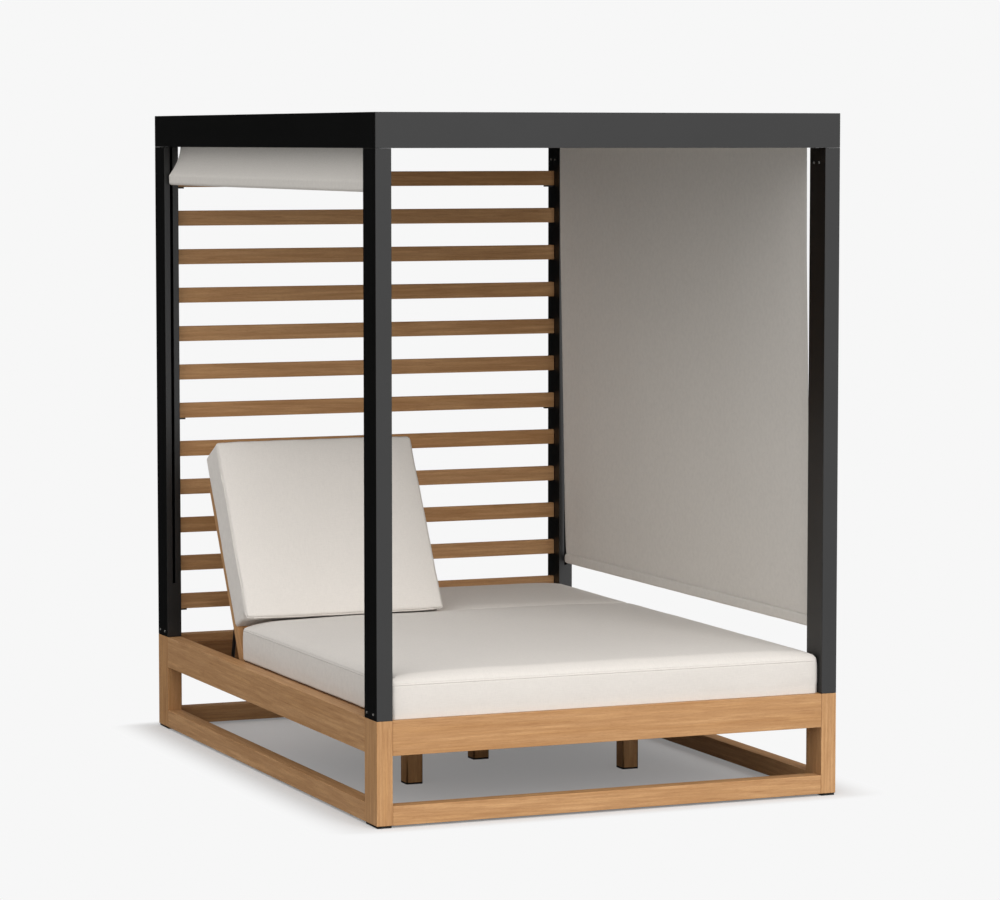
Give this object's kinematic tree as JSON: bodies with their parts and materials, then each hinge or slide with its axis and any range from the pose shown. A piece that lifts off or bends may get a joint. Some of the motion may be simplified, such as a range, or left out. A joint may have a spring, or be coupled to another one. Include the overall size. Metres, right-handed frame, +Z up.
{
  "type": "outdoor daybed",
  "caption": "Outdoor daybed: teak base with slatted headboard, metal canopy, pull-down side shades, seat cushion and tilting backrests.",
  "frame": {"origin": "on the floor under the middle of the bed", "axes": "+X to the right as seen from the foot of the bed, +Y towards the headboard, +Z up"},
  "size_m": [1.5034, 2.12, 2.085],
  "materials": {
    "teak": "oiled, fine straight grain",
    "inner_teak": "plain sawn",
    "glide": "moulded black",
    "steel": "black coated steel",
    "canopy_metal": "charcoal powder coat, fine texture",
    "cushion_fabric": "off-white woven outdoor cloth",
    "shade_fabric": "warm grey screen cloth",
    "roller_fabric": "screen cloth wound on a tube"
  },
  "bodies": {
    "base": {"leg_front_left": "teak", "glide_front_left": "glide", "leg_front_right": "teak", "glide_front_right": "glide", "leg_back_left": "teak", "glide_back_left": "glide", "leg_back_right": "teak", "glide_back_right": "glide", "apron_front": "teak", "stretcher_front": "teak", "apron_back": "teak", "stretcher_back": "teak", "apron_left": "teak", "stretcher_left": "teak", "apron_right": "teak", "stretcher_right": "teak", "ledger_left": "inner_teak", "ledger_right": "inner_teak", "centre_rail": "inner_teak", "cross_beam": "inner_teak", "support_leg_left": "inner_teak", "support_leg_right": "inner_teak", "support_leg_middle": "inner_teak", "seat_deck": "inner_teak", "hinge_rod": "steel", "centre_hinge_plate": "steel", "post_front_left": "canopy_metal", "post_front_right": "canopy_metal", "post_back_left": "canopy_metal", "post_back_right": "canopy_metal", "beam_front": "canopy_metal", "beam_back": "canopy_metal", "beam_left": "canopy_metal", "beam_right": "canopy_metal", "roof_panel": "canopy_metal", "headboard_slat_1": "teak", "headboard_slat_2": "teak", "headboard_slat_3": "teak", "headboard_slat_4": "teak", "headboard_slat_5": "teak", "headboard_slat_6": "teak", "headboard_slat_7": "teak", "headboard_slat_8": "teak", "headboard_slat_9": "teak", "headboard_slat_10": "teak", "headboard_slat_11": "teak", "headboard_slat_12": "teak", "seat_cushion": "cushion_fabric", "shade_cloth_left": "shade_fabric", "shade_cloth_right": "shade_fabric"},
    "left_backrest": {"backrest_frame_left": "inner_teak"},
    "left_prop": {"prop_left": "steel"},
    "left_back_cushion": {"back_cushion_left": "cushion_fabric"},
    "left_hem_bar": {"hem_bar_left": "shade_fabric"},
    "left_shade_roller": {"shade_roller_left": "roller_fabric"},
    "right_backrest": {"backrest_frame_right": "inner_teak"},
    "right_prop": {"prop_right": "steel"},
    "right_back_cushion": {"back_cushion_right": "cushion_fabric"},
    "right_hem_bar": {"hem_bar_right": "shade_fabric"},
    "right_shade_roller": {"shade_roller_right": "roller_fabric"}
  },
  "joints": [
    {"name": "left_backrest_hinge", "type": "hinge", "parent": "base", "child": "left_backrest", "pos_m": [-0.35, 0.3413, 0.2957], "axis": [1, 0, 0], "range_deg": [-60.65, 0]},
    {"name": "left_prop_hinge", "type": "hinge", "parent": "left_backrest", "child": "left_prop", "pos_m": [-0.35, 0.46041, 0.50751], "axis": [1, 0, 0], "range_deg": [0, 134.15]},
    {"name": "left_back_cushion_slide", "type": "slide", "parent": "left_backrest", "child": "left_back_cushion", "axis": [0, 0.4901, 0.8716], "range_m": [-0.1253, 0]},
    {"name": "left_shade_slide", "type": "slide", "parent": "base", "child": "left_hem_bar", "axis": [0, 0, 1], "range_m": [-1.3465, 0], "deforming": ["shade_cloth_left"]},
    {"name": "left_roller_turn", "type": "hinge", "parent": "base", "child": "left_shade_roller", "pos_m": [-0.67165, 0, 2.025], "axis": [0, 1, 0], "range_deg": [-3386.2, 0]},
    {"name": "right_backrest_hinge", "type": "hinge", "parent": "base", "child": "right_backrest", "pos_m": [0.35, 0.3413, 0.2957], "axis": [1, 0, 0], "range_deg": [0, 60.65]},
    {"name": "right_prop_hinge", "type": "hinge", "parent": "right_backrest", "child": "right_prop", "pos_m": [0.35, 0.5843, 0.2957], "axis": [1, 0, 0], "range_deg": [-134.15, 0]},
    {"name": "right_back_cushion_slide", "type": "slide", "parent": "right_backrest", "child": "right_back_cushion", "axis": [0, 1, 0], "range_m": [0, 0.1253]},
    {"name": "right_shade_slide", "type": "slide", "parent": "base", "child": "right_hem_bar", "axis": [0, 0, 1], "range_m": [0, 1.3465], "deforming": ["shade_cloth_right"]},
    {"name": "right_roller_turn", "type": "hinge", "parent": "base", "child": "right_shade_roller", "pos_m": [0.67565, 0, 2.025], "axis": [0, 1, 0], "range_deg": [-3386.2, 0]}
  ],
  "couplings": [
    {"joint": "left_prop_hinge", "follows": "left_backrest_hinge", "ratio": -2.2119},
    {"joint": "left_back_cushion_slide", "follows": "left_backrest_hinge", "m_per_rad": 0.11837},
    {"joint": "left_roller_turn", "follows": "left_shade_slide", "rad_per_m": 43.8},
    {"joint": "right_prop_hinge", "follows": "right_backrest_hinge", "ratio": -2.2119},
    {"joint": "right_back_cushion_slide", "follows": "right_backrest_hinge", "m_per_rad": 0.11837},
    {"joint": "right_roller_turn", "follows": "right_shade_slide", "rad_per_m": -43.8}
  ]
}
